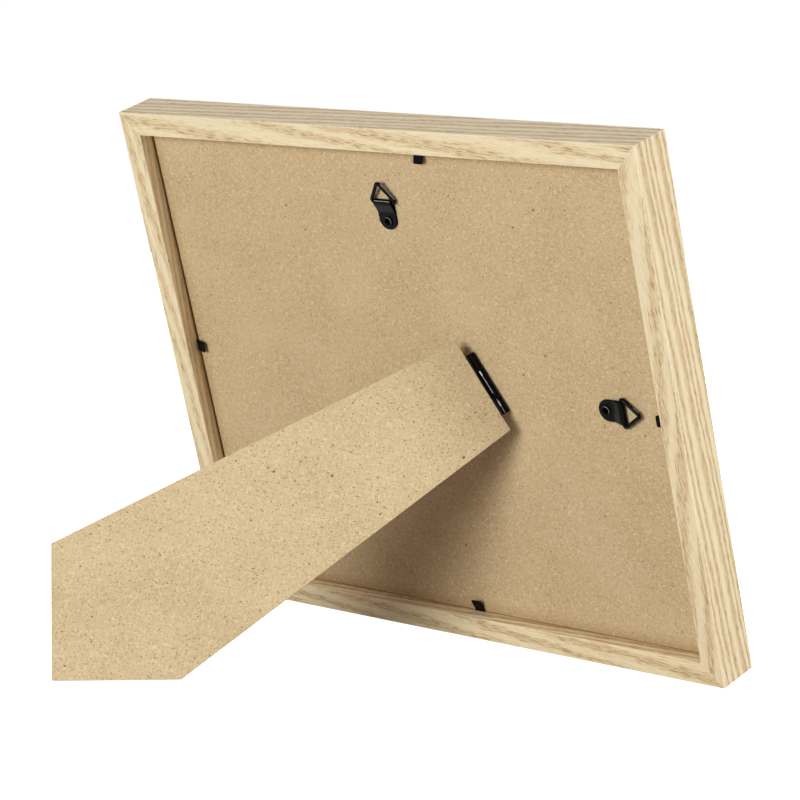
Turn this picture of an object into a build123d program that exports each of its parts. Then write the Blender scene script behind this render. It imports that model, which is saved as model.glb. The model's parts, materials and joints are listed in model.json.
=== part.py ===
import os
from math import cos, hypot, radians, sin, tan

from build123d import *

os.makedirs("parts", exist_ok=True)

# Easel back photo frame, standing in landscape on its strut, in millimetres.
# +Z is up and the picture faces -Y. The origin is on the table, in the middle of the footprint.
# Left and right are as seen from behind the frame.

# Wooden moulding
outer_width = 278.0
outer_height = 227.0
rail_width = 10.0  # wood behind the rebate wall, as seen from behind
lip_width = 5.0  # how far the front lip covers the sheets
lip_thickness = 7.0
edge_round = 0.4

# Sheets in the rebate, from the front, and the recess left behind them
glazing_thickness = 2.0
insert_thickness = 0.5
board_thickness = 3.0
recess_depth = 7.0
sheet_gap = 0.8  # play at the left, right and top: the sheets stand on the bottom rail

# V nails inside the mitres
nail_sink = 1.5
nail_depth = 7.0
nail_leg = 5.0
nail_thickness = 0.5
nail_inset = 3.5  # from the outer faces to the nail

# Flex tabs in the rebate walls, with their offsets right of or above the frame's middle
tab_width = 5.0
tab_thickness = 0.5
tab_reach = 5.8  # from the wall to the tip, along the tab
tab_root = 0.3
tab_embed = 6.5
tab_lift = 0.3  # above the backing board
tab_tilt = 20.0  # of the blades off the board, as they stand
tab_tip_radius = 0.8
top_tab_offset = 24.5
right_tab_offset = -1.7
bottom_tab_offset = 9.3
left_tab_offset = 4.2

# Hangers: a strap folded round the base of a triangular wire ring
top_hanger_inset = 42.0  # rivet to the frame's outer edge
top_hanger_offset = 0.8  # right of the frame's middle
side_hanger_inset = 41.1
side_hanger_offset = -0.7  # above the frame's middle
strap_width = 9.3
strap_thickness = 0.5
strap_end = 3.6  # rivet to the strap's rounded end
bar_distance = 8.4  # rivet to the ring's base bar
loop_run = 0.6  # raised length of the strap behind the bar
loop_slope = 3.9
strap_bend_radius = 2.0
wire_diameter = 1.6
ring_clearance = 0.1
ring_side_play = 0.2
ring_base_angle = 54.0
ring_corner_radius = 1.0
ring_apex_radius = 1.2
top_ring_lift = 11.0  # angle between the ring and the board, as it stands
side_ring_lift = 4.0

# Hollow hanger rivets
eyelet_bore = 2.6
eyelet_wall = 0.3
eyelet_flange = 4.6
eyelet_flange_thickness = 0.5
eyelet_round = 0.2

# Rivets of the hinge leaf on the board
rivet_shank = 2.4
rivet_head = 4.4
rivet_head_height = 0.8
rivet_head_round = 0.5
rivet_distance = 11.0  # from the hinge axis
rivet_spacing = 16.0

# Spread front ends of all rivets, sunk in the board
flare_width = 1.0  # beyond the shank, all round
flare_thickness = 0.5
flare_sink = 0.1
rivet_clearance = 0.05

# Strut hinge
hinge_right = 39.2  # right of the frame's middle
hinge_above = 4.8  # above the frame's middle
hinge_slant = 60.5  # of the hinge line below horizontal, towards the right
pin_diameter = 1.6
pin_clearance = 0.05
knuckle_wall = 0.85
barrel_length = 28.0
middle_knuckle = 13.0
knuckle_gap = 0.2
barrel_lift = 0.2  # between the barrel and the board
leaf_thickness = 0.6
leaf_length = 17.0
leaf_notch = 0.4
heel_reach = 0.6  # the stop on the middle knuckle, which meets the board when the strut is open
heel_gap = 0.05
prong_width = 2.0
prong_thickness = 0.6
prong_depth = 2.0
prong_rows = (7.0, 14.0)  # from the hinge axis
prong_spacing = 20.0

# Strut and stance
strut_thickness = 3.0
strut_end_width = 41.5
strut_flare = 5.3  # each side's angle from the strut's middle line
strut_end_gap = 0.8  # barrel to the strut's hinge end
strut_lift = 0.9  # hinge axis to the strut's inner face
strut_opening = 52.0
foot_edge = 51.5  # length of the foot cut that stands on the table in landscape
lean = 16.0  # from upright, standing in landscape

# Sizes that follow
rebate_depth = glazing_thickness + insert_thickness + board_thickness + recess_depth
frame_depth = lip_thickness + rebate_depth
face_width = rail_width + lip_width
rebate_width = outer_width - 2 * rail_width
rebate_height = outer_height - 2 * rail_width
sheet_width = rebate_width - 2 * sheet_gap
sheet_height = rebate_height - sheet_gap
sheet_middle = rail_width + sheet_height / 2
pin_radius = pin_diameter / 2
pin_bore = pin_radius + pin_clearance
knuckle_radius = pin_bore + knuckle_wall
axis_height = knuckle_radius + barrel_lift
strut_start = knuckle_radius + strut_end_gap
wire_radius = wire_diameter / 2
loop_bore = wire_radius + ring_clearance
bar_height = loop_bore + strap_thickness
shank_radius = rivet_shank / 2
eyelet_radius = eyelet_bore / 2 + eyelet_wall

# Directions of the leaning frame and of its open strut
across = Vector(-1, 0, 0)
up = Vector(0, sin(radians(lean)), cos(radians(lean)))
out = Vector(0, cos(radians(lean)), -sin(radians(lean)))
hinge_dir = across * cos(radians(hinge_slant)) - up * sin(radians(hinge_slant))
fold_dir = across * -sin(radians(hinge_slant)) - up * cos(radians(hinge_slant))
strut_dir = fold_dir * cos(radians(strut_opening)) + out * sin(radians(strut_opening))
strut_out = out * cos(radians(strut_opening)) - fold_dir * sin(radians(strut_opening))

# The hinge's middle, measured from the middle of the frame's bottom back edge
hinge_rise = outer_height / 2 + hinge_above
hinge_spot = across * hinge_right + up * hinge_rise + out * (axis_height - recess_depth)

# The bottom back edge is rounded, so its lowest line lies this far above its sharp corner
edge_drop = edge_round * (cos(radians(lean)) + sin(radians(lean)) - 1)


# Lines on the strut are (x, y, z) for x * (distance along the hinge) + y * (distance along the strut) = z.
# Two lines cross at this point, given as distances along the strut and along the hinge.
def crossing(first, second):
    spread = first[0] * second[1] - first[1] * second[0]
    along_hinge = (first[2] * second[1] - first[1] * second[2]) / spread
    along_strut = (first[0] * second[2] - first[2] * second[0]) / spread
    return along_strut, along_hinge


# Strut outline: two flared sides, the cut where its inner face meets the table in landscape,
# and the cut for portrait, square to it
flare = tan(radians(strut_flare))
side_start = strut_end_width / 2 - flare * strut_start
lower_side = (1, -flare, side_start)
upper_side = (-1, -flare, side_start)
table_drop = edge_drop - (hinge_spot + strut_out * strut_lift).Z
table_cut = (hinge_dir.Z, strut_dir.Z, table_drop)
cut_scale = foot_edge / hypot(hinge_dir.Z, strut_dir.Z)
cut_run = (-hinge_dir.Z * cut_scale, strut_dir.Z * cut_scale)
foot_heel = crossing(lower_side, table_cut)
foot_tip = (foot_heel[0] + cut_run[0], foot_heel[1] + cut_run[1])
portrait_cut = (cut_run[1], cut_run[0], cut_run[0] * foot_tip[0] + cut_run[1] * foot_tip[1])
strut_outline = (
    (strut_start, -strut_end_width / 2),
    (strut_start, strut_end_width / 2),
    foot_heel,
    foot_tip,
    crossing(upper_side, portrait_cut),
)

# The footprint runs from the bottom front edge to the foot's outer tip, and its middle is the origin
tip_spot = hinge_spot + strut_dir * foot_tip[0] + hinge_dir * foot_tip[1]
tip_spot += strut_out * (strut_lift + strut_thickness)
front_reach = edge_drop - frame_depth * cos(radians(lean))
back = Plane(
    origin=(0, -(tip_spot.Y + front_reach) / 2, -edge_drop),
    x_dir=across,
    z_dir=out,
)
hinge_centre = back.origin + hinge_spot
board_hinge = Plane(origin=hinge_centre, x_dir=fold_dir, z_dir=out)
strut_hinge = Plane(origin=hinge_centre, x_dir=strut_dir, z_dir=strut_out)
board_section = Plane(origin=hinge_centre, x_dir=fold_dir, z_dir=-hinge_dir)
strut_section = Plane(origin=hinge_centre, x_dir=strut_dir, z_dir=-hinge_dir)
board_back = back.offset(-recess_depth)


# A plane on the backing board, at a point of the frame's back, with its x along a direction there
def board_spot(point, heading):
    return Plane(
        origin=board_back.from_local_coords(Vector(point[0], point[1], 0)),
        x_dir=across * heading[0] + up * heading[1],
        z_dir=out,
    )


rivet_spots = [
    Plane(
        origin=hinge_centre - out * axis_height + fold_dir * rivet_distance + hinge_dir * offset,
        x_dir=fold_dir,
        z_dir=out,
    )
    for offset in (-rivet_spacing / 2, rivet_spacing / 2)
]
hangers = {
    "top": (
        board_spot((top_hanger_offset, outer_height - top_hanger_inset), (0, 1)),
        top_ring_lift,
    ),
    "side": (
        board_spot((outer_width / 2 - side_hanger_inset, outer_height / 2 + side_hanger_offset), (1, 0)),
        side_ring_lift,
    ),
}
tabs = {
    "top": board_spot((top_tab_offset, outer_height - rail_width), (0, -1)),
    "right": board_spot((outer_width / 2 - rail_width, outer_height / 2 + right_tab_offset), (-1, 0)),
    "bottom": board_spot((bottom_tab_offset, rail_width), (0, 1)),
    "left": board_spot((rail_width - outer_width / 2, outer_height / 2 + left_tab_offset), (1, 0)),
}

# V nails, one across each mitre, inside the wood
outer_corners = [
    (-outer_width / 2, outer_height),
    (outer_width / 2, outer_height),
    (outer_width / 2, 0),
    (-outer_width / 2, 0),
]
inward_signs = [(1, -1), (-1, -1), (-1, 1), (1, 1)]
nail_near = nail_inset + nail_thickness
nail_far = nail_inset + nail_leg
nail_outline = (
    (nail_inset, nail_inset),
    (nail_far, nail_inset),
    (nail_far, nail_near),
    (nail_near, nail_near),
    (nail_near, nail_far),
    (nail_inset, nail_far),
)
with BuildPart() as corner_v_nails:
    for corner, sign in zip(outer_corners, inward_signs):
        with BuildSketch(back.offset(-nail_sink)):
            with BuildLine():
                Polyline(
                    *[(corner[0] + sign[0] * x, corner[1] + sign[1] * y) for x, y in nail_outline],
                    close=True,
                )
            make_face()
        extrude(amount=-nail_depth)
corner_v_nails.part.label = "corner_v_nails"
export_step(corner_v_nails.part, "parts/corner_v_nails.step")

# Flex tabs: a shank driven into each rebate wall, and a blade that bends up from it
tab_shanks = {}
for name, spot in tabs.items():
    with BuildPart() as shank:
        with BuildSketch(spot.offset(tab_lift)):
            with Locations(((tab_root - tab_embed) / 2, 0)):
                Rectangle(tab_root + tab_embed, tab_width)
        extrude(amount=tab_thickness)
    shank.part.label = f"{name}_tab_shank"
    export_step(shank.part, f"parts/{name}_tab_shank.step")
    tab_shanks[name] = shank.part

    blade_dir = spot.x_dir * cos(radians(tab_tilt)) + out * sin(radians(tab_tilt))
    blade_plane = Plane(
        origin=spot.origin + spot.x_dir * tab_root + out * (tab_lift + tab_thickness),
        x_dir=blade_dir,
        z_dir=blade_dir.cross(spot.y_dir),
    )
    with BuildPart() as blade:
        with BuildSketch(blade_plane) as blade_outline:
            Rectangle(tab_reach - tab_root, tab_width, align=(Align.MIN, Align.CENTER))
            fillet(blade_outline.vertices().group_by(Axis.X)[-1], radius=tab_tip_radius)
        extrude(amount=-tab_thickness)
    blade.part.label = f"{name}_tab_blade"
    export_step(blade.part, f"parts/{name}_tab_blade.step")

# The moulding as a closed ring, from which the rails are cut at the mitres
with BuildPart() as moulding:
    with BuildSketch(back):
        with Locations((0, outer_height / 2)):
            Rectangle(outer_width, outer_height)
    extrude(amount=-frame_depth)
    fillet(moulding.edges(), radius=edge_round)
    with BuildSketch(back):
        with Locations((0, outer_height / 2)):
            Rectangle(rebate_width, rebate_height)
    extrude(amount=-rebate_depth, mode=Mode.SUBTRACT)
    with BuildSketch(back):
        with Locations((0, outer_height / 2)):
            Rectangle(outer_width - 2 * face_width, outer_height - 2 * face_width)
    extrude(amount=-frame_depth, mode=Mode.SUBTRACT)
    levels = moulding.faces().sort_by(Axis(back.origin, out))
    mouth = levels[-1].inner_wires()[0]
    sight = levels[0].inner_wires()[0]
    fillet(mouth.edges() + sight.edges(), radius=edge_round)

# Rails, each with the pockets of its nails and its tab
inner_corners = [
    (corner[0] + sign[0] * face_width, corner[1] + sign[1] * face_width)
    for corner, sign in zip(outer_corners, inward_signs)
]
for start, name in enumerate(("top", "right", "bottom", "left")):
    end = (start + 1) % len(outer_corners)
    with BuildPart() as rail:
        add(moulding.part)
        with BuildSketch(back):
            with BuildLine():
                Polyline(
                    outer_corners[start],
                    outer_corners[end],
                    inner_corners[end],
                    inner_corners[start],
                    close=True,
                )
            make_face()
        extrude(amount=-frame_depth, mode=Mode.INTERSECT)
        add(corner_v_nails.part, mode=Mode.SUBTRACT)
        add(tab_shanks[name], mode=Mode.SUBTRACT)
    rail.part.label = f"{name}_rail"
    export_step(rail.part, f"parts/{name}_rail.step")

# Sheets in the rebate
with BuildPart() as glazing:
    with BuildSketch(back.offset(-rebate_depth)):
        with Locations((0, sheet_middle)):
            Rectangle(sheet_width, sheet_height)
    extrude(amount=glazing_thickness)
glazing.part.label = "glazing"
export_step(glazing.part, "parts/glazing.step")

with BuildPart() as picture_insert:
    with BuildSketch(back.offset(glazing_thickness - rebate_depth)):
        with Locations((0, sheet_middle)):
            Rectangle(sheet_width, sheet_height)
    extrude(amount=insert_thickness)
picture_insert.part.label = "picture_insert"
export_step(picture_insert.part, "parts/picture_insert.step")

# Backing board, with a hole for each rivet and a sunk seat for its spread front end
fixings = {
    shank_radius: rivet_spots,
    eyelet_radius: [spot for spot, lift in hangers.values()],
}
with BuildPart() as backing_board:
    with BuildSketch(board_back):
        with Locations((0, sheet_middle)):
            Rectangle(sheet_width, sheet_height)
    extrude(amount=-board_thickness)
    for radius, spots in fixings.items():
        with BuildSketch(*spots):
            Circle(radius + rivet_clearance)
        extrude(amount=-board_thickness, mode=Mode.SUBTRACT)
        with BuildSketch(*[spot.offset(-board_thickness) for spot in spots]):
            Circle(radius + flare_width + rivet_clearance)
        extrude(amount=flare_thickness + flare_sink, mode=Mode.SUBTRACT)
backing_board.part.label = "backing_board"
export_step(backing_board.part, "parts/backing_board.step")

# Hangers
flare_bottom = flare_sink - board_thickness
loop_start = bar_distance - loop_run
crease = loop_start - loop_slope
loop_rise = 2 * bar_height - 2 * strap_thickness
fold_offset = strap_thickness * (hypot(loop_slope, loop_rise) - loop_slope) / loop_rise
ring_tangent = ring_corner_radius / tan(radians(ring_base_angle / 2))
ring_half_base = strap_width / 2 + ring_side_play + ring_tangent
ring_height = ring_half_base * tan(radians(ring_base_angle))
for name, (spot, lift) in hangers.items():
    along = spot.x_dir
    section = Plane(origin=spot.origin, x_dir=along, z_dir=along.cross(out))
    with BuildPart() as strap:
        with BuildSketch(section):
            with BuildLine():
                under = Line((-strap_end, 0), (bar_distance, 0))
                bend = CenterArc((bar_distance, bar_height), bar_height, -90, 180)
                upper = FilletPolyline(
                    bend @ 1,
                    (loop_start, 2 * bar_height),
                    (crease, 2 * strap_thickness),
                    (-strap_end, 2 * strap_thickness),
                    radius=strap_bend_radius,
                )
                Line(upper @ 1, under @ 0)
            make_face()
            with BuildLine():
                floor = Line((crease + fold_offset, strap_thickness), (bar_distance, strap_thickness))
                bore = CenterArc((bar_distance, bar_height), loop_bore, -90, 180)
                FilletPolyline(
                    bore @ 1,
                    (loop_start + fold_offset, 2 * bar_height - strap_thickness),
                    floor @ 0,
                    radius=strap_bend_radius - strap_thickness,
                )
            make_face(mode=Mode.SUBTRACT)
        extrude(amount=strap_width / 2, both=True)
        with BuildSketch(spot):
            with Locations((strap_width / 2 - strap_end, 0)):
                Circle(strap_width / 2)
                Rectangle(
                    strap_end + bar_distance + bar_height,
                    strap_width,
                    align=(Align.MIN, Align.CENTER),
                )
        extrude(amount=2 * bar_height, mode=Mode.INTERSECT)
        with BuildSketch(spot):
            Circle(eyelet_radius + rivet_clearance)
        extrude(amount=2 * strap_thickness, mode=Mode.SUBTRACT)
    strap.part.label = f"{name}_hanger_strap"
    export_step(strap.part, f"parts/{name}_hanger_strap.step")

    apex_dir = along * cos(radians(lift)) + out * sin(radians(lift))
    ring_plane = Plane(
        origin=spot.origin + along * bar_distance + out * bar_height,
        x_dir=spot.y_dir,
        z_dir=spot.y_dir.cross(apex_dir),
    )
    with BuildPart() as ring:
        with BuildLine(ring_plane) as wire:
            FilletPolyline(
                (-ring_half_base, 0),
                (ring_half_base, 0),
                (0, ring_height),
                radius=(ring_corner_radius, ring_corner_radius, ring_apex_radius),
                close=True,
            )
        with BuildSketch(Plane(origin=wire.line @ 0, z_dir=wire.line % 0)):
            Circle(wire_radius)
        sweep()
    ring.part.label = f"{name}_hanger_ring"
    export_step(ring.part, f"parts/{name}_hanger_ring.step")

    flange_bottom = 2 * strap_thickness
    flange_top = flange_bottom + eyelet_flange_thickness
    with BuildPart() as eyelet:
        with BuildSketch(section):
            with BuildLine():
                Polyline(
                    (eyelet_bore / 2, flare_bottom),
                    (eyelet_radius + flare_width, flare_bottom),
                    (eyelet_radius + flare_width, flare_bottom + flare_thickness),
                    (eyelet_radius, flare_bottom + flare_thickness),
                    (eyelet_radius, flange_bottom),
                    (eyelet_flange / 2, flange_bottom),
                    (eyelet_flange / 2, flange_top),
                    (eyelet_bore / 2, flange_top),
                    close=True,
                )
            make_face()
        revolve(axis=Axis(spot.origin, out))
        fillet(eyelet.edges().group_by(Axis(spot.origin, out))[-1], radius=eyelet_round)
    eyelet.part.label = f"{name}_hanger_rivet"
    export_step(eyelet.part, f"parts/{name}_hanger_rivet.step")

# Hinge leaf on the backing board, with the two outer knuckles
knuckle_start = middle_knuckle / 2 + knuckle_gap
notch_reach = knuckle_radius + leaf_notch
with BuildPart() as hinge_board_leaf:
    with BuildSketch(board_hinge.offset(-axis_height)):
        Rectangle(leaf_length, barrel_length, align=(Align.MIN, Align.CENTER))
        Rectangle(
            notch_reach,
            2 * knuckle_start,
            align=(Align.MIN, Align.CENTER),
            mode=Mode.SUBTRACT,
        )
    extrude(amount=leaf_thickness)
    with BuildSketch(board_section.offset(knuckle_start)):
        Circle(knuckle_radius)
    extrude(amount=barrel_length / 2 - knuckle_start)
    with BuildSketch(board_section.offset(-knuckle_start)):
        Circle(knuckle_radius)
    extrude(amount=knuckle_start - barrel_length / 2)
    with BuildSketch(board_section):
        Circle(pin_bore)
    extrude(amount=barrel_length / 2, both=True, mode=Mode.SUBTRACT)
    with BuildSketch(*rivet_spots):
        Circle(shank_radius + rivet_clearance)
    extrude(amount=leaf_thickness, mode=Mode.SUBTRACT)
hinge_board_leaf.part.label = "hinge_board_leaf"
export_step(hinge_board_leaf.part, "parts/hinge_board_leaf.step")

# Hinge leaf on the strut, with the middle knuckle, its stop heel and the prongs clinched in the strut
prong_spots = [(row, side * prong_spacing / 2) for row in prong_rows for side in (-1, 1)]
with BuildPart() as hinge_strut_leaf:
    with BuildSketch(strut_hinge.offset(strut_lift)):
        with Locations((notch_reach, 0)):
            Rectangle(leaf_length - notch_reach, barrel_length, align=(Align.MIN, Align.CENTER))
        Rectangle(leaf_length, middle_knuckle, align=(Align.MIN, Align.CENTER))
    extrude(amount=-leaf_thickness)
    with BuildSketch(strut_section):
        Circle(knuckle_radius)
    extrude(amount=middle_knuckle / 2, both=True)
    with BuildSketch(board_section):
        Rectangle(heel_reach, axis_height - heel_gap, align=(Align.MAX, Align.MAX))
    extrude(amount=middle_knuckle / 2, both=True)
    with BuildSketch(strut_section):
        Circle(pin_bore)
    extrude(amount=middle_knuckle / 2, both=True, mode=Mode.SUBTRACT)
    with BuildSketch(strut_hinge.offset(strut_lift)):
        with Locations(*prong_spots):
            Rectangle(prong_thickness, prong_width)
    extrude(amount=prong_depth)
hinge_strut_leaf.part.label = "hinge_strut_leaf"
export_step(hinge_strut_leaf.part, "parts/hinge_strut_leaf.step")

with BuildPart() as hinge_pin:
    with BuildSketch(board_section):
        Circle(pin_radius)
    extrude(amount=barrel_length / 2, both=True)
hinge_pin.part.label = "hinge_pin"
export_step(hinge_pin.part, "parts/hinge_pin.step")

# Rivets of the board leaf
with BuildPart() as hinge_board_rivets:
    for spot in rivet_spots:
        with BuildSketch(spot.offset(leaf_thickness)):
            Circle(rivet_head / 2)
        extrude(amount=rivet_head_height)
        with BuildSketch(spot.offset(flare_bottom)):
            Circle(shank_radius)
        extrude(amount=leaf_thickness - flare_bottom)
        with BuildSketch(spot.offset(flare_bottom)):
            Circle(shank_radius + flare_width)
        extrude(amount=flare_thickness)
    head_rims = hinge_board_rivets.edges().group_by(Axis(back.origin, out))[-1]
    fillet(head_rims, radius=rivet_head_round)
hinge_board_rivets.part.label = "hinge_board_rivets"
export_step(hinge_board_rivets.part, "parts/hinge_board_rivets.step")

# Strut
with BuildPart() as easel_strut:
    with BuildSketch(strut_hinge.offset(strut_lift)):
        with BuildLine():
            Polyline(*strut_outline, close=True)
        make_face()
    extrude(amount=strut_thickness)
    with BuildSketch(strut_hinge.offset(strut_lift)):
        with Locations(*prong_spots):
            Rectangle(prong_thickness, prong_width)
    extrude(amount=prong_depth, mode=Mode.SUBTRACT)
easel_strut.part.label = "easel_strut"
export_step(easel_strut.part, "parts/easel_strut.step")
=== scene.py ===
import json
import math

import bmesh
import bpy
from mathutils import Matrix, Vector

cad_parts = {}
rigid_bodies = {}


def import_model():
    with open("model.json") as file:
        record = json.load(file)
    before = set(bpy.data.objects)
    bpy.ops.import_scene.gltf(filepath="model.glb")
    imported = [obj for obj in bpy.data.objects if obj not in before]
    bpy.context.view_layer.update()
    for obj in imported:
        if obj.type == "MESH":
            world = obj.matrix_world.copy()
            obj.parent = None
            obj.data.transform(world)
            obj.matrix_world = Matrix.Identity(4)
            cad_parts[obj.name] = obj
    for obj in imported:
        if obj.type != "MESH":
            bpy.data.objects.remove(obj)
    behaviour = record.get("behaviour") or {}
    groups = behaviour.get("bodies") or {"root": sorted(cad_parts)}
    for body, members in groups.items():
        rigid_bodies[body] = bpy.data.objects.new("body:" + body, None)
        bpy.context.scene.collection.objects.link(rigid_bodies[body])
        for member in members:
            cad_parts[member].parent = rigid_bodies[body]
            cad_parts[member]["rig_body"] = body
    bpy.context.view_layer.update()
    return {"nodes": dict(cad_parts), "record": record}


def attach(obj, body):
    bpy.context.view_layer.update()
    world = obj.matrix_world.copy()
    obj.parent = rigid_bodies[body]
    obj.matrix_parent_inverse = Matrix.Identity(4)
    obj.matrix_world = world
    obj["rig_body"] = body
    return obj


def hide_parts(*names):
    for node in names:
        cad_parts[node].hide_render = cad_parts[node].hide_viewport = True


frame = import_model()
nodes = frame["nodes"]
mounts = {mount["name"]: mount for mount in frame["record"]["mounts"]}
joints = {joint["child"]: joint for joint in frame["record"]["behaviour"]["joints"]}
print("frame loaded:", len(nodes), "nodes")


# directions of the leaning frame, read from its mounts
backOut = Vector(mounts["wall_face"]["axis"]).normalized()  # out of the back
backRight = Vector((-1, 0, 0))  # right as seen from behind
backUp = backOut.cross(backRight).normalized()
backFoot = Vector(mounts["table_edge"]["pos_m"])  # middle of the bottom back edge


def reach(name, direction):
    spans = [(vertex.co - backFoot).dot(direction) for vertex in nodes[name].data.vertices]
    return min(spans), max(spans)


halfWidth = reach("right_rail", backRight)[1]
frameHeight = reach("top_rail", backUp)[1]
frameDepth = -reach("top_rail", backOut)[0]
boardDepth = -reach("backing_board", backOut)[1]
railCorners = [vertex.co - backFoot for vertex in nodes["right_rail"].data.vertices]
backCorners = [corner for corner in railCorners if corner.dot(backOut) > -boardDepth / 2]
railWidth = halfWidth - min(corner.dot(backRight) for corner in backCorners)
print("frame size in mm:", round(2000 * halfWidth), round(1000 * frameHeight), round(1000 * frameDepth, 1))


def srgb(red, green, blue):
    linear = []
    for level in (red, green, blue):
        part = level / 255
        linear.append(part / 12.92 if part <= 0.04045 else ((part + 0.055) / 1.055) ** 2.4)
    return (*linear, 1.0)


# one socket of a node tree; maths on it adds Math nodes
class Wire:
    def __init__(self, finish, socket):
        self.finish = finish
        self.socket = socket

    def math(self, operation, *others):
        values = dict(enumerate((self, *others)))
        return self.finish.add("ShaderNodeMath", {"operation": operation}, values)

    def __add__(self, other):
        return self.math("ADD", other)

    def __radd__(self, other):
        return self.math("ADD", other)

    def __sub__(self, other):
        return self.math("SUBTRACT", other)

    def __rsub__(self, other):
        return self.finish.add("ShaderNodeMath", {"operation": "SUBTRACT"}, {0: other, 1: self})

    def __mul__(self, other):
        return self.math("MULTIPLY", other)

    def __rmul__(self, other):
        return self.math("MULTIPLY", other)

    def __truediv__(self, other):
        return self.math("DIVIDE", other)

    def __abs__(self):
        return self.math("ABSOLUTE")

    def least(self, other):
        return self.math("MINIMUM", other)

    def most(self, other):
        return self.math("MAXIMUM", other)

    # 0 at low, 1 at high, smooth between; low may be the larger
    def ease(self, low, high):
        flipped = low > high
        span = {"From Min": min(low, high), "From Max": max(low, high)}
        eased = self.finish.add(
            "ShaderNodeMapRange",
            {"interpolation_type": "SMOOTHSTEP"},
            {"Value": self, **span},
        )
        return 1 - eased if flipped else eased


# the node tree of a material or of the world
class Finish:
    def __init__(self, owner):
        owner.use_nodes = True
        self.owner = owner
        self.tree = owner.node_tree
        self.tree.nodes.clear()

    # settings are set first, then the values or links of the sockets
    def add(self, kind, settings=None, sockets=None, out=0):
        node = self.tree.nodes.new(kind)
        for key, value in (settings or {}).items():
            if key == "stops":
                self.fillRamp(node.color_ramp, value)
            else:
                setattr(node, key, value)
        for key, value in (sockets or {}).items():
            if isinstance(value, Wire):
                self.tree.links.new(value.socket, node.inputs[key])
            else:
                node.inputs[key].default_value = value
        return Wire(self, node.outputs[out]) if node.outputs else None

    def fillRamp(self, ramp, stops):
        while len(ramp.elements) < len(stops):
            ramp.elements.new(0.5)
        for element, (place, colour) in zip(ramp.elements, stops):
            element.position = place
            element.color = colour

    def place(self):
        return self.add("ShaderNodeTexCoord", out="Object")

    # a length in mm along a direction of the frame, from the foot of the frame's back
    def along(self, direction):
        dotted = self.add(
            "ShaderNodeVectorMath",
            {"operation": "DOT_PRODUCT"},
            {0: self.place(), 1: direction},
            out="Value",
        )
        return (dotted - backFoot.dot(direction)) * 1000

    def joined(self, x, y, z):
        return self.add("ShaderNodeCombineXYZ", sockets={0: x, 1: y, 2: z})

    def noise(self, vector, scale=1.0, detail=2.0, rough=0.5, warp=0.0):
        values = {"Vector": vector, "Scale": scale, "Detail": detail, "Roughness": rough, "Distortion": warp}
        return self.add("ShaderNodeTexNoise", sockets=values)

    def blend(self, share, first, second, mode="MIX"):
        return self.add(
            "ShaderNodeMix",
            {"data_type": "RGBA", "blend_type": mode},
            {0: share, 6: first, 7: second},
            out=2,
        )

    def vector(self, operation, first, second, out=0):
        return self.add("ShaderNodeVectorMath", {"operation": operation}, {0: first, 1: second}, out)

    def scaled(self, vector, scale):
        return self.add("ShaderNodeVectorMath", {"operation": "SCALE"}, {0: vector, "Scale": scale})

    # how far a place in mm lies from a line between two points
    def lineGap(self, place, start, end):
        along = (end - start).normalized()
        offset = self.vector("SUBTRACT", place, start)
        run = self.vector("DOT_PRODUCT", offset, along, "Value").most(0.0).least((end - start).length)
        return self.vector("DISTANCE", offset, self.scaled(along, run), "Value")

    # how far a place in mm lies from a circle round an axis
    def circleGap(self, place, centre, axis, radius):
        offset = self.vector("SUBTRACT", place, centre)
        rise = self.vector("DOT_PRODUCT", offset, axis, "Value")
        spread = self.vector("DISTANCE", offset, self.scaled(axis, rise), "Value") - radius
        return (rise * rise + spread * spread).math("SQRT")

    def bump(self, height, distance, strength=1.0):
        return self.add(
            "ShaderNodeBump",
            sockets={"Height": height, "Distance": distance, "Strength": strength},
        )

    def close(self, shader, output="ShaderNodeOutputMaterial"):
        self.add(output, sockets={"Surface": shader})
        print("finish:", self.owner.name, len(self.tree.nodes), "nodes")
        return self.owner


# pale open-grained oak; the growth layers lie nearly flat in the back face, so they show as stripes on
# the outer sides and as slanted bands of flecks behind
oak = {
    "cream": srgb(247, 230, 193),
    "straw": srgb(236, 215, 174),
    "tan": srgb(215, 187, 143),
    "fleck": srgb(190, 155, 107),
    "blush": srgb(230, 194, 158),
    # painted shade colour of the rebate wall towards the board
    "raw": srgb(150, 118, 74),
    "filler": srgb(248, 238, 216),
    "acrossTilt": 0.46,  # how the layers cut the back face
    "wander": 1.5,  # mm, slow drift of the layers
    "ragged": 1.5,  # mm, torn edges of the layers
    "spread": 1.1,  # uneven width of the layers
    "fleckLength": 5.5,  # mm
    "fleckWidth": 0.42,
    "fleckSlant": 0.1,
    "streakLength": 16.0,
    "streakWidth": 0.8,
    "slow": (80.0, 13.0),  # mm along and across the grain, as are the next three
    "torn": (11.0, 1.6),
    "warm": (28.0, 3.0),
    "breakup": (1.5, 1.5),
    "spreadPitch": 6.0,  # mm of layers over which their width changes
    "backFace": 0.9,  # mm over which the look of the back gives way to that of the sides
    "mitreWidth": 0.22,
    # mm of lightened arris, partly wear and partly painted highlight
    "edgeWear": 0.9,
    "wallEdge": 0.5,  # mm over which the rebate wall begins
    "poreDepth": 0.00006,  # m
    "roughness": 0.52,
}


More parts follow.
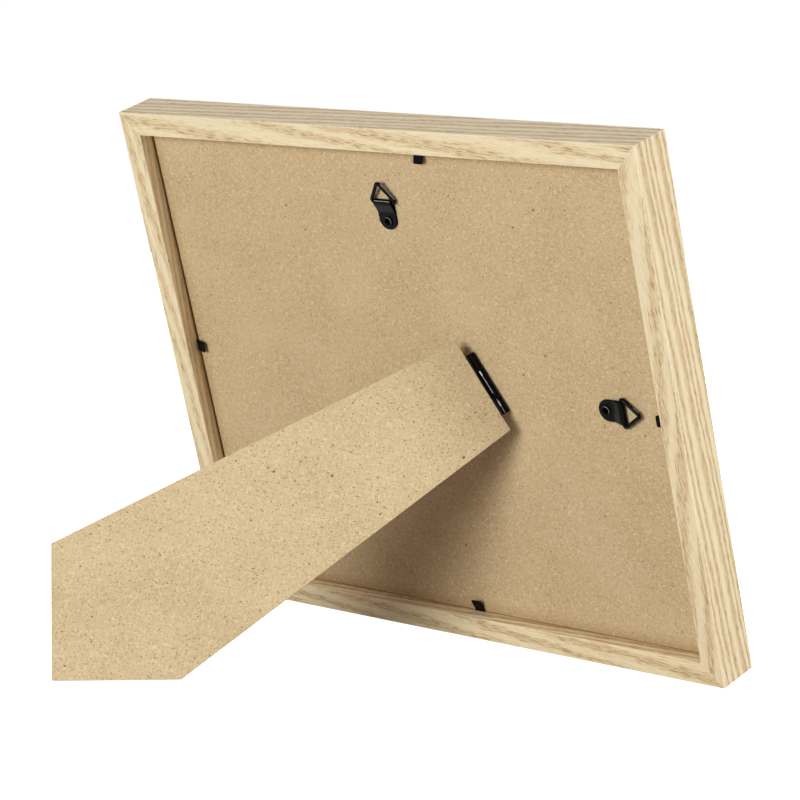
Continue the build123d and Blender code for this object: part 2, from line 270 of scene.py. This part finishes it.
def oakFinish(name, grain):
    finish = Finish(bpy.data.materials.new(name))
    along = finish.along(grain["along"]) + grain["shift"]
    across = finish.along(grain["across"])
    depth = finish.along(backOut)
    onBack = depth.ease(-oak["backFace"], -oak["backFace"] / 3)

    def grained(size):
        return finish.joined(along / size[0], across / size[1], depth / size[1])

    slow = finish.noise(grained(oak["slow"]), detail=1)
    torn = finish.noise(grained(oak["torn"]), detail=3, rough=0.6)
    layer = depth + across * oak["acrossTilt"] + along * grain["slope"]
    layer = layer + (slow - 0.5) * (2 * oak["wander"]) + (torn - 0.5) * (2 * oak["ragged"])
    uneven = finish.noise(finish.joined(layer / oak["spreadPitch"], grain["shift"], 0.0), detail=0)
    turns = layer / grain["pitch"] + uneven * oak["spread"]
    early = finish.add(
        "ShaderNodeValToRGB",
        {
            "stops": [
                (0.0, (0.3, 0.3, 0.3, 1)),
                (0.14, (1, 1, 1, 1)),
                (0.4, (0.8, 0.8, 0.8, 1)),
                (0.58, (0.12, 0.12, 0.12, 1)),
                (0.8, (0, 0, 0, 1)),
                (1.0, (0.3, 0.3, 0.3, 1)),
            ],
        },
        {0: turns.math("FRACT")},
    )
    slanted = across + along * oak["fleckSlant"]
    streakSpace = finish.joined(
        along / oak["streakLength"],
        slanted / oak["streakWidth"],
        depth / oak["streakWidth"],
    )
    streaks = finish.noise(streakSpace, detail=3, rough=0.6)
    fleckSpace = finish.joined(
        along / oak["fleckLength"],
        slanted / oak["fleckWidth"],
        depth / oak["fleckWidth"],
    )
    flecks = finish.noise(fleckSpace, detail=2, rough=0.5).ease(0.49, 0.62) * (early * 0.85 + 0.14)
    banding = early * (0.44 - onBack * 0.18)
    tone = (banding + flecks * (0.34 + onBack * 0.36)) * grain["contrast"] + (streaks - 0.5) * 0.3 + 0.04
    wood = finish.add(
        "ShaderNodeValToRGB",
        {"stops": [(0.0, oak["cream"]), (0.2, oak["straw"]), (0.62, oak["tan"]), (1.0, oak["fleck"])]},
        {0: tone.most(0.0)},
    )
    warm = finish.noise(grained(oak["warm"]), detail=2)
    wood = finish.blend(warm.ease(0.52, 0.72) * early * 0.55, wood, oak["blush"])

    # how far each point lies from the outer sides, the mitres and the arrises
    sideGap = halfWidth * 1000 - abs(finish.along(backRight))
    endGap = frameHeight * 500 - abs(finish.along(backUp) - frameHeight * 500)
    nearGap = sideGap.least(endGap)
    mitre = abs(sideGap - endGap)
    breakup = finish.noise(grained(oak["breakup"]), detail=2)
    filled = mitre.ease(oak["mitreWidth"] * 2, oak["mitreWidth"] * 0.5) * breakup.ease(0.35, 0.6)
    wood = finish.blend(filled * 0.4, wood, oak["filler"])
    backArris = nearGap.most(depth * -1)
    frontArris = nearGap.most(depth + frameDepth * 1000)
    innerArris = abs(nearGap - railWidth * 1000).most(depth * -1)
    arris = backArris.least(frontArris).least(innerArris)
    # the arrises lighten towards cream: partly edge wear, partly a painted highlight where they catch the light
    wearAndHighlight = arris.ease(oak["edgeWear"], 0.2) * breakup.ease(0.25, 0.6)
    wood = finish.blend(wearAndHighlight * 0.6, wood, oak["cream"])

    # painted shade on the sawn rebate wall: it darkens towards the board, with a painted gap shadow where it
    # meets the board
    boardLevel = boardDepth * -1000
    wall = nearGap.ease(railWidth * 1000 - oak["wallEdge"], railWidth * 1000 - 0.1) * depth.ease(-0.4, -0.9)
    wall = wall * depth.ease(boardLevel - 2.5, boardLevel - 0.5)
    recessShade = depth.ease(boardLevel * 0.3, boardLevel)
    gapShadow = depth.ease(boardLevel * 0.86, boardLevel)
    wood = finish.blend(wall * (recessShade * 0.4 + gapShadow * 0.6), wood, oak["raw"], "MULTIPLY")

    height = streaks * 0.35 - flecks * 0.8 - early * 0.2
    surface = finish.add(
        "ShaderNodeBsdfPrincipled",
        sockets={
            "Base Color": wood,
            "Roughness": oak["roughness"] + flecks * 0.25 + (streaks - 0.5) * 0.12,
            "Normal": finish.bump(height, oak["poreDepth"], 0.8),
            "Specular IOR Level": 0.35,
        },
    )
    return finish.close(surface)


# each rail's grain runs along it, with its own growth ring pitch in mm and slope
railGrain = {
    "top_rail": {
        "along": backRight, "across": backUp, "shift": 0.0, "pitch": 3.9, "slope": 0.05, "contrast": 1.15,
    },
    "right_rail": {
        "along": backUp, "across": backRight, "shift": 431.0, "pitch": 3.7, "slope": -0.05, "contrast": 1.3,
    },
    "bottom_rail": {
        "along": backRight, "across": backUp, "shift": 917.0, "pitch": 3.2, "slope": 0.05, "contrast": 1.5,
    },
    "left_rail": {
        "along": backUp, "across": backRight, "shift": 1373.0, "pitch": 3.0, "slope": 0.06, "contrast": 1.1,
    },
}
for railName, grain in railGrain.items():
    railFinish = oakFinish(railName + "_oak", grain)
    nodes[railName].data.materials.clear()
    nodes[railName].data.materials.append(railFinish)
print("rails dressed")


# raw fibreboard: a gritty ground, short curly fibres, and bark specks
board = {
    "ground": srgb(206, 179, 138),
    "pale": srgb(226, 203, 163),
    "dark": srgb(168, 139, 98),
    "speck": srgb(108, 74, 44),
    "clouds": 0.35,
    "mottle": 0.45,
    "grit": 0.6,
    "cloudScale": 0.035,  # per mm, as are the next four
    "mottleScale": 0.35,
    "gritScale": 1.5,
    "strandScale": 0.7,
    "fibreScales": (0.42, 0.6, 0.85),
    "fibreShare": 0.8,
    "strandShare": 0.4,
    # share of cells with a speck, cell pitch in mm, speck radius in mm, strength, heading in degrees, stretch
    "specks": (
        (0.26, 1.2, 0.2, 0.5, 25.0, 1.6),
        (0.26, 1.2, 0.2, 0.5, 115.0, 1.6),
        (0.14, 2.4, 0.3, 0.6, 60.0, 1.5),
        (0.12, 11.0, 0.55, 0.65, 140.0, 1.4),
    ),
    "speckWarp": 1.1,  # mm, bends the round specks
    "skin": 0.2,  # mm below the faces in which specks lie
    "fibreDepth": 1.6,  # fibres lie flat in the sheet
    "cornerReach": 9.0,  # mm over which painted shade darkens the board towards the rails
    "cornerShade": 0.35,
    "napDepth": 0.00005,  # m
    "roughness": 0.78,
}
strut = {
    **board,
    "ground": srgb(201, 178, 138),
    "speck": srgb(98, 64, 35),
    "mottle": 0.35,
    "grit": 0.5,
    "fibreShare": 0.6,
    "strandShare": 0.35,
    "specks": (
        (0.4, 1.2, 0.2, 0.62, 25.0, 1.6),
        (0.4, 1.2, 0.2, 0.62, 115.0, 1.6),
        (0.2, 2.4, 0.3, 0.8, 60.0, 1.5),
        (0.1, 9.0, 0.55, 0.85, 140.0, 1.4),
    ),
}


def fibreboardFinish(name, sizes, node, outwards, shift):
    finish = Finish(bpy.data.materials.new(name))
    low, high = [1000 * level for level in reach(node, outwards)]
    sideways = outwards.cross(backUp).normalized()
    upwards = sideways.cross(outwards)
    first, second, third = finish.along(sideways) + shift, finish.along(upwards), finish.along(outwards)
    place = finish.joined(first, second, third * sizes["fibreDepth"])
    clouds = finish.noise(place, scale=sizes["cloudScale"], detail=3)
    mottle = finish.noise(place, scale=sizes["mottleScale"], detail=3, rough=0.6)
    grit = finish.noise(place, scale=sizes["gritScale"], detail=2)
    tone = (clouds - 0.5) * sizes["clouds"] + (mottle - 0.5) * sizes["mottle"] + (grit - 0.5) * sizes["grit"]
    ground = finish.add(
        "ShaderNodeValToRGB",
        {"stops": [(0.1, sizes["dark"]), (0.5, sizes["ground"]), (0.95, sizes["pale"])]},
        {0: tone + 0.5},
    )
    fibres = 0.0
    for order, scale in enumerate(sizes["fibreScales"]):
        seed = finish.noise(place, scale=scale, detail=1, warp=0.6 + order * 0.3)
        cut = finish.noise(place, scale=scale + 0.13, detail=0)
        fibres = abs(seed - 0.5).ease(0.055, 0.01) * cut.ease(0.57, 0.63) + fibres
    strandSeed = finish.noise(place, scale=sizes["strandScale"], detail=1, warp=0.8)
    strands = abs(strandSeed - 0.46).ease(0.05, 0.0) * mottle.ease(0.48, 0.62)
    ground = finish.blend(fibres.least(1.0) * sizes["fibreShare"], ground, sizes["pale"])
    ground = finish.blend(strands * sizes["strandShare"], ground, sizes["dark"])
    bentFirst = first + (grit - 0.5) * sizes["speckWarp"]
    bentSecond = second + (mottle - 0.5) * sizes["speckWarp"]
    specks = 0.0
    for share, pitch, radius, strength, heading, stretch in sizes["specks"]:
        cosine, sine = math.cos(math.radians(heading)), math.sin(math.radians(heading))
        lengthwise = (bentFirst * cosine + bentSecond * sine) / stretch
        speckPlace = finish.joined(lengthwise, bentSecond * cosine - bentFirst * sine, 0.0)
        cell = {"Vector": speckPlace, "Scale": 1 / pitch, "Randomness": 1.0}
        gap = finish.add("ShaderNodeTexVoronoi", {"voronoi_dimensions": "2D"}, cell)
        draw = finish.add("ShaderNodeTexVoronoi", {"voronoi_dimensions": "2D"}, cell, "Color")
        chance = finish.add("ShaderNodeSeparateColor", sockets={0: draw}, out=0)
        extent = finish.add("ShaderNodeSeparateColor", sockets={0: draw}, out=1)
        width = radius / pitch
        edge = gap / (extent * 0.6 + 0.6)
        specks = edge.ease(width, width * 0.6) * chance.ease(share, share - 0.02) * strength + specks
    inSkin = abs(third - (low + high) / 2).ease((high - low) / 2 - sizes["skin"], (high - low) / 2 - 0.1)
    ground = finish.blend(specks.least(0.9) * inSkin, ground, sizes["speck"])
    if node == "backing_board":
        # painted shade: the board darkens towards the rails around it
        sideGap = (halfWidth - railWidth) * 1000 - abs(finish.along(backRight))
        endGap = (frameHeight / 2 - railWidth) * 1000 - abs(finish.along(backUp) - frameHeight * 500)
        corner = sideGap.least(endGap).ease(sizes["cornerReach"], 0.0)
        ground = finish.blend(corner * corner * sizes["cornerShade"], ground, sizes["dark"], "MULTIPLY")
    surface = finish.add(
        "ShaderNodeBsdfPrincipled",
        sockets={
            "Base Color": ground,
            "Roughness": sizes["roughness"] + (grit - 0.5) * 0.2,
            "Normal": finish.bump(grit * 0.6 + mottle * 0.4 + fibres * 0.3, sizes["napDepth"], 0.7),
            "Specular IOR Level": 0.25,
        },
    )
    return finish.close(surface)


# satin black coat over stamped steel, with painted highlights of bright metal along a few crests
coat = {
    "black": srgb(5, 5, 6),
    "rubbed": srgb(15, 15, 16),
    "bare": srgb(226, 226, 232),
    "roughness": 0.24,
    "bareRoughness": 0.12,  # more than the coat's
    "peelScale": 2.2,  # per mm, as is the next
    "rubScale": 0.7,
    "peelDepth": 0.00002,  # m
}


# painted highlights lie along lines (start, end, half width, strength) and circles (centre, axis, radius, half
# width, strength), in mm
def blackCoatFinish(name, lines=(), circles=(), brightSide=(backRight + backUp).normalized()):
    finish = Finish(bpy.data.materials.new(name))
    place = finish.scaled(finish.place(), 1000)
    peel = finish.noise(place, scale=coat["peelScale"], detail=2)
    rub = finish.noise(place, scale=coat["rubScale"], detail=4, rough=0.65)
    colour = finish.blend(rub.ease(0.55, 0.8) * 0.5, coat["black"], coat["rubbed"])
    bare = rub * 0.0
    # painted highlights: bright metal colour laid where light would glint, broken up by the peel noise
    for start, end, width, strength in lines:
        bare = bare.most(finish.lineGap(place, start, end).ease(width, width * 0.3) * strength)
    for centre, axis, radius, width, strength in circles:
        facing = finish.vector("DOT_PRODUCT", finish.vector("SUBTRACT", place, centre), brightSide, "Value")
        rim = finish.circleGap(place, centre, axis, radius).ease(width, width * 0.3)
        bare = bare.most(rim * facing.ease(0.0, radius) * strength)
    bare = bare * (0.7 + peel.ease(0.3, 0.6) * 0.3)
    surface = finish.add(
        "ShaderNodeBsdfPrincipled",
        sockets={
            "Base Color": finish.blend(bare, colour, coat["bare"]),
            "Metallic": bare * 0.6,
            "Roughness": coat["roughness"] + (rub - 0.5) * 0.25 + bare * coat["bareRoughness"],
            "Normal": finish.bump(peel, coat["peelDepth"], 0.5),
            "Specular IOR Level": 0.06,
        },
    )
    return finish.close(surface)


# painted highlights on the hinge knuckles, the fold of the top strap, the rims of the hollow rivets and the
# ring legs
highlightPlaces = {
    "knuckleRadius": 1.7,
    "knuckleTurn": -36.0,  # degrees round the hinge from straight out of the board
    # start and end along the hinge, half width and strength, as in the fold; the legs start and end at shares
    "knuckles": (
        (-5.7, -4.0, 0.42, 0.75),
        (-4.6, 4.4, 0.26, 0.45),
        (7.4, 13.4, 0.24, 0.3),
        (8.4, 10.2, 0.42, 0.6),
    ),
    "foldRadius": 1.4,
    "foldTurn": 35.0,
    "fold": (-4.0, 4.0, 0.15, 0.6),
    "rimRadius": 1.85,
    "rim": (0.24, 0.3),
    "legs": {"top_ring": (0.15, 0.85, 0.26, 0.7), "side_ring": (0.62, 0.86, 0.24, 0.7)},
}


def highlightLine(body, turn, radius, span):
    spot, axis = Vector(joints[body]["pos_m"]) * 1000, Vector(joints[body]["axis"]).normalized()
    angle = math.radians(turn)
    line = spot + (backOut * math.cos(angle) + axis.cross(backOut) * math.sin(angle)) * radius
    return (line + axis * span[0], line + axis * span[1], *span[2:])


highlightLines = [highlightLine("strut", highlightPlaces["knuckleTurn"], highlightPlaces["knuckleRadius"], span) for span in highlightPlaces["knuckles"]]
highlightLines.append(highlightLine("top_ring", -highlightPlaces["foldTurn"], highlightPlaces["foldRadius"], highlightPlaces["fold"]))
highlightRims = []
for name in ("top_hanger_rivet", "side_hanger_rivet"):
    spots = [vertex.co * 1000 for vertex in nodes[name].data.vertices]
    crown = max(spot.dot(backOut) for spot in spots)
    middle = sum(spots, Vector()) / len(spots)
    rimCentre = middle + backOut * (crown - middle.dot(backOut))
    highlightRims.append((rimCentre, backOut, highlightPlaces["rimRadius"], *highlightPlaces["rim"]))


# bare rolled steel of the nails inside the mitres
steel = {
    "bright": srgb(190, 190, 192),
    "dull": srgb(134, 134, 138),
    "roughness": 0.36,
    "scratch": (6.0, 0.2),  # mm long and wide
}


def steelFinish(name):
    finish = Finish(bpy.data.materials.new(name))
    along, across, depth = finish.along(backRight), finish.along(backUp), finish.along(backOut)
    length, width = steel["scratch"]
    scratches = finish.noise(finish.joined(along / width, across / width, depth / length), detail=3)
    surface = finish.add(
        "ShaderNodeBsdfPrincipled",
        sockets={
            "Base Color": finish.blend(scratches, steel["dull"], steel["bright"]),
            "Metallic": 1.0,
            "Roughness": steel["roughness"] + (scratches - 0.5) * 0.3,
        },
    )
    return finish.close(surface)


# clear picture glass: nothing but its gloss shows, more of it at a slant, with the faintest wipe marks
glazing = {
    "tint": srgb(246, 250, 248),
    "roughness": 0.02,
    "gloss": 0.045,
    "slantGloss": 0.9,
    "wipes": 0.02,
    "wipe": (40.0, 7.0),  # mm long and wide
}


def glassFinish(name):
    finish = Finish(bpy.data.materials.new(name))
    along, across = finish.along(backRight), finish.along(backUp)
    length, width = glazing["wipe"]
    wipes = finish.noise(finish.joined(along / length, across / width, 0.0), detail=3, warp=0.6).ease(0.55, 0.8)
    slant = finish.add("ShaderNodeLayerWeight", sockets={"Blend": 0.5}, out="Facing").math("POWER", 5.0)
    surface = finish.add(
        "ShaderNodeBsdfPrincipled",
        sockets={
            "Base Color": glazing["tint"],
            "Metallic": 1.0,
            "Roughness": glazing["roughness"] + wipes * 0.03,
            "Alpha": slant * glazing["slantGloss"] + wipes * glazing["wipes"] + glazing["gloss"],
        },
    )
    return finish.close(surface)


# plain blank card in place of a picture
card = {
    "white": srgb(240, 237, 229),
    "shade": srgb(226, 221, 210),
    "pulpScale": 1.1,  # per mm, as is the next
    "cloudScale": 0.02,
    "pulpDepth": 0.00003,  # m
    "roughness": 0.85,
}


def cardFinish(name):
    finish = Finish(bpy.data.materials.new(name))
    place = finish.scaled(finish.place(), 1000)
    pulp = finish.noise(place, scale=card["pulpScale"], detail=4, rough=0.6, warp=0.8)
    cloud = finish.noise(place, scale=card["cloudScale"], detail=2)
    tone = pulp * 0.6 + cloud * 0.4
    surface = finish.add(
        "ShaderNodeBsdfPrincipled",
        sockets={
            "Base Color": finish.blend(tone.ease(0.3, 0.8), card["white"], card["shade"]),
            "Roughness": card["roughness"] + (pulp - 0.5) * 0.1,
            "Normal": finish.bump(pulp, card["pulpDepth"], 0.6),
        },
    )
    return finish.close(surface)


strutFace = max(nodes["easel_strut"].data.polygons, key=lambda face: face.area)
boardMaterial = fibreboardFinish("backing_fibreboard", board, "backing_board", backOut, 0.0)
strutMaterial = fibreboardFinish("strut_fibreboard", strut, "easel_strut", strutFace.normal.copy(), 517.0)
blackMaterial = blackCoatFinish("satin_black_coat", highlightLines, highlightRims)
slotMaterials = {
    "board_mdf": boardMaterial,
    "strut_mdf": strutMaterial,
    "black_metal": blackMaterial,
    "nail_steel": steelFinish("rolled_steel"),
    "glazing": glassFinish("picture_glass"),
    "card": cardFinish("blank_card"),
}
nodeSlots = {part["node"]: part["material_slot"] for part in frame["record"]["subparts"]}
for name, node in nodes.items():
    if nodeSlots[name] in slotMaterials:
        node.data.materials.clear()
        node.data.materials.append(slotMaterials[nodeSlots[name]])


# stamped and sawn pieces get their arrises eased, on a merged copy that stands for the CAD node
easing = {
    "easel_strut": 0.25,
    "backing_board": 0.25,
    "glazing": 0.15,
    "picture_insert": 0.05,
    "top_hanger_strap": 0.13,
    "side_hanger_strap": 0.13,
    "hinge_board_leaf": 0.12,
    "hinge_strut_leaf": 0.12,
    "top_tab_blade": 0.1,
    "right_tab_blade": 0.1,
    "bottom_tab_blade": 0.1,
    "left_tab_blade": 0.1,
}
sharpAngle = math.radians(38)
sheets = ("glazing", "picture_insert")  # lie against each other
sheetGap = 0.03  # mm off each face of a sheet


def camel(name):
    first, *rest = name.split("_")
    return first + "".join(word.capitalize() for word in rest)


def easedCopy(name, width):
    source = nodes[name]
    shape = bmesh.new()
    shape.from_mesh(source.data)
    bmesh.ops.remove_doubles(shape, verts=shape.verts, dist=1e-6)
    bmesh.ops.dissolve_limit(shape, angle_limit=math.radians(0.5), verts=shape.verts, edges=shape.edges)
    arrises = [
        edge
        for edge in shape.edges
        if len(edge.link_faces) == 2 and edge.calc_face_angle() > sharpAngle
    ]
    bmesh.ops.bevel(
        shape,
        geom=arrises,
        offset=width / 1000,
        segments=2,
        profile=0.5,
        affect="EDGES",
        clamp_overlap=True,
    )
    if name in sheets:
        shape.normal_update()
        for vertex in shape.verts:
            vertex.co -= vertex.normal * (sheetGap / 1000)
    bmesh.ops.triangulate(shape, faces=shape.faces)
    for face in shape.faces:
        face.smooth = True
    mesh = bpy.data.meshes.new(camel(name))
    shape.to_mesh(mesh)
    shape.free()
    mesh.set_sharp_from_angle(angle=sharpAngle)
    mesh.materials.append(source.data.materials[0])
    piece = bpy.data.objects.new(camel(name), mesh)
    bpy.context.scene.collection.objects.link(piece)
    weighted = piece.modifiers.new("weighted", "WEIGHTED_NORMAL")
    weighted.keep_sharp = True
    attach(piece, source["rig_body"])
    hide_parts(name)
    return piece


for name, width in easing.items():
    easedPiece = easedCopy(name, width)
    print("eased:", easedPiece.name, len(easedPiece.data.polygons), "faces")


# a Geometry Nodes tree with named inputs; its result becomes a plain mesh
class Build(Finish):
    def __init__(self, name, inputs):
        self.tree = bpy.data.node_groups.new(name, "GeometryNodeTree")
        self.tree.interface.new_socket("Geometry", in_out="OUTPUT", socket_type="NodeSocketGeometry")
        self.identifiers = {}
        for label, kind in inputs.items():
            entry = self.tree.interface.new_socket(label, in_out="INPUT", socket_type=kind)
            self.identifiers[label] = entry.identifier
        self.entries = self.tree.nodes.new("NodeGroupInput")

    def given(self, label):
        return Wire(self, self.entries.outputs[label])

    def end(self, geometry):
        whole = self.add("GeometryNodeRealizeInstances", sockets={0: geometry})
        smooth = self.add("GeometryNodeSetShadeSmooth", sockets={0: whole})
        dressed = self.add("GeometryNodeSetMaterial", sockets={0: smooth, "Material": self.given("Material")})
        self.add("NodeGroupOutput", sockets={0: dressed})

    def make(self, name, values):
        piece = bpy.data.objects.new(name, bpy.data.meshes.new(name))
        bpy.context.scene.collection.objects.link(piece)
        modifier = piece.modifiers.new("build", "NODES")
        modifier.node_group = self.tree
        for label, value in values.items():
            modifier[self.identifiers[label]] = value
        evaluated = piece.evaluated_get(bpy.context.evaluated_depsgraph_get())
        mesh = bpy.data.meshes.new_from_object(evaluated)
        piece.modifiers.clear()
        piece.data = mesh
        mesh.name = name
        return piece


# hanger rings: wire bent to a triangle with rounded corners, in mm and degrees
ring = {"baseAngle": 54.0, "cornerRadius": 1.0, "apexRadius": 1.2, "bendSteps": 12, "wireSides": 24}


def ringBuild():
    lengths = ("Half Base", "Height", "Corner Radius", "Apex Radius", "Wire Radius")
    inputs = {label: "NodeSocketFloat" for label in lengths}
    build = Build("wireRing", {**inputs, "Material": "NodeSocketMaterial"})
    triangle = build.add("GeometryNodeCurvePrimitiveCircle", sockets={"Resolution": 3, "Radius": 1.0})
    place = build.add("GeometryNodeInputPosition")
    lengthwise = build.add("ShaderNodeSeparateXYZ", sockets={0: place}, out="X")
    sideways = build.add("ShaderNodeSeparateXYZ", sockets={0: place}, out="Y")
    corner = build.joined(
        sideways / math.sin(math.radians(60)) * build.given("Half Base"),
        (lengthwise + 0.5) / 1.5 * build.given("Height"),
        0.0,
    )
    bent = build.add("GeometryNodeSetPosition", sockets={"Geometry": triangle, "Position": corner})
    isApex = lengthwise.math("GREATER_THAN", 0.5)
    corners = build.given("Corner Radius")
    radius = corners + (build.given("Apex Radius") - corners) * isApex
    path = build.add(
        "GeometryNodeFilletCurve",
        {"mode": "POLY"},
        {"Curve": bent, "Count": ring["bendSteps"], "Radius": radius},
    )
    section = build.add(
        "GeometryNodeCurvePrimitiveCircle",
        sockets={"Resolution": ring["wireSides"], "Radius": build.given("Wire Radius")},
    )
    build.end(build.add("GeometryNodeCurveToMesh", sockets={"Curve": path, "Profile Curve": section}))
    return build


rings = ringBuild()
for body in ("top_ring", "side_ring"):
    name = body.replace("ring", "hanger_ring")
    bar = Vector(joints[body]["pos_m"])
    barwise = Vector(joints[body]["axis"]).normalized()
    offsets = [vertex.co - bar for vertex in nodes[name].data.vertices]
    mean = sum(offsets, Vector()) / len(offsets)
    apexwise = (mean - barwise * mean.dot(barwise)).normalized()
    facing = barwise.cross(apexwise)
    wireRadius = max(offset.dot(facing) for offset in offsets)
    span = max(offset.dot(barwise) for offset in offsets)
    baseAngle = math.radians(ring["baseAngle"])
    cornerRadius = ring["cornerRadius"] / 1000
    halfBase = span - wireRadius - cornerRadius + cornerRadius / math.tan(baseAngle / 2)
    base, apex = barwise * halfBase, apexwise * halfBase * math.tan(baseAngle)
    legHighlights = []
    # painted highlights along the side of each leg that faces right
    for corner in (base, -base):
        leg = apex - corner
        bright = backRight - leg * backRight.dot(leg) / leg.length_squared
        line = bar + corner + bright.normalized() * wireRadius
        low, high, width, strength = highlightPlaces["legs"][body]
        legHighlights.append(((line + leg * low) * 1000, (line + leg * high) * 1000, width, strength))
    ringSizes = {
        "Half Base": halfBase,
        "Height": halfBase * math.tan(baseAngle),
        "Corner Radius": cornerRadius,
        "Apex Radius": ring["apexRadius"] / 1000,
        "Wire Radius": wireRadius,
        "Material": blackCoatFinish(body + "_black_coat", legHighlights),
    }
    ringPiece = rings.make(camel(name), ringSizes)
    turn = Matrix((barwise, apexwise, facing)).transposed().to_4x4()
    ringPiece.data.transform(Matrix.Translation(bar) @ turn)
    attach(ringPiece, body)
    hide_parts(name)
    print("ring:", ringPiece.name, len(ringPiece.data.polygons), "faces")


# plain white studio
studio = {
    "ambient": (1.06, 0.975, 0.98, 1),
    "ambientStrength": 0.09,
    "floorSize": 30.0,
    "floorDrop": 0.0002,
    "floorGlow": 0.94,
    "floorShade": srgb(237, 237, 237),
    "floorWhite": srgb(178, 169, 165),
}


def seenDirectly(finish):
    camera = finish.add("ShaderNodeLightPath", out="Is Camera Ray")
    glossy = finish.add("ShaderNodeLightPath", out="Is Glossy Ray")
    clear = finish.add("ShaderNodeLightPath", out="Is Transmission Ray")
    return camera.most(glossy).most(clear)


def floorFinish(name):
    finish = Finish(bpy.data.materials.new(name))
    plain = finish.add("ShaderNodeBsdfDiffuse", sockets={"Color": studio["floorWhite"]})
    shade = finish.add("ShaderNodeBsdfDiffuse", sockets={"Color": studio["floorShade"]})
    glow = finish.add("ShaderNodeEmission", sockets={"Strength": studio["floorGlow"]})
    seen = finish.add("ShaderNodeAddShader", sockets={0: shade, 1: glow})
    return finish.close(finish.add("ShaderNodeMixShader", sockets={0: seenDirectly(finish), 1: plain, 2: seen}))


half = studio["floorSize"] / 2
floorMesh = bpy.data.meshes.new("studioFloor")
floorCorners = [(-half, -half), (half, -half), (half, half), (-half, half)]
floorMesh.from_pydata([(x, y, -studio["floorDrop"]) for x, y in floorCorners], [], [(0, 1, 2, 3)])
floorMesh.materials.append(floorFinish("studio_floor"))
floor = bpy.data.objects.new("studioFloor", floorMesh)
bpy.context.scene.collection.objects.link(floor)

world = bpy.data.worlds.new("studio_sky")
bpy.context.scene.world = world
sky = Finish(world)
ambient = sky.add("ShaderNodeBackground", sockets={0: studio["ambient"], 1: studio["ambientStrength"]})
white = sky.add("ShaderNodeBackground", sockets={0: (1, 1, 1, 1), 1: 1.0})
shown = sky.add("ShaderNodeMixShader", sockets={0: seenDirectly(sky), 1: ambient, 2: white})
sky.close(shown, "ShaderNodeOutputWorld")

lamps = {
    "key": {
        "from": (0.0, 1.07, 0.16), "distance": 1.6,
        "size": 0.8, "watts": 20.9, "colour": (1.0, 1.04, 1.03),
    },
    "fill": {
        "from": (-1.0, -0.1, 0.12), "distance": 1.4,
        "size": 0.4, "watts": 11.3, "colour": (1.0, 1.04, 1.06),
    },
    "front": {
        "from": (0.8, -1.0, 0.12), "distance": 1.5,
        "size": 0.6, "watts": 15.0, "colour": (1, 1, 1),
    },
    "top": {
        "from": (0.0, 0.1, 1.0), "distance": 1.5,
        "size": 1.0, "watts": 5.6, "colour": (0.95, 0.96, 1.16),
    },
}
middle = Vector((0, 0, frameHeight / 2))
for name, lamp in lamps.items():
    light = bpy.data.lights.new(name, "AREA")
    light.shape = "SQUARE"
    light.size = lamp["size"]
    light.energy = lamp["watts"]
    light.color = lamp["colour"]
    towards = Vector(lamp["from"]).normalized()
    holder = bpy.data.objects.new(name, light)
    holder.location = middle + towards * lamp["distance"]
    holder.rotation_euler = (-towards).to_track_quat("-Z", "Y").to_euler()
    bpy.context.scene.collection.objects.link(holder)
print("studio lit")


# the photograph's level view from behind, on the right
camera = {"place": (-0.8549, 0.9137, 0.3084), "heading": 138.09, "tilt": -9.02, "lens": 142.16}
cameraData = bpy.data.cameras.new("view")
cameraData.lens = camera["lens"]
cameraData.sensor_width = 36
cameraObject = bpy.data.objects.new("view", cameraData)
heading, tilt = math.radians(camera["heading"]), math.radians(camera["tilt"])
looking = Vector((math.sin(heading) * math.cos(tilt), math.cos(heading) * math.cos(tilt), math.sin(tilt)))
cameraObject.location = camera["place"]
cameraObject.rotation_euler = looking.to_track_quat("-Z", "Y").to_euler()
bpy.context.scene.collection.objects.link(cameraObject)
bpy.context.scene.camera = cameraObject
bpy.context.scene.view_settings.view_transform = "Standard"
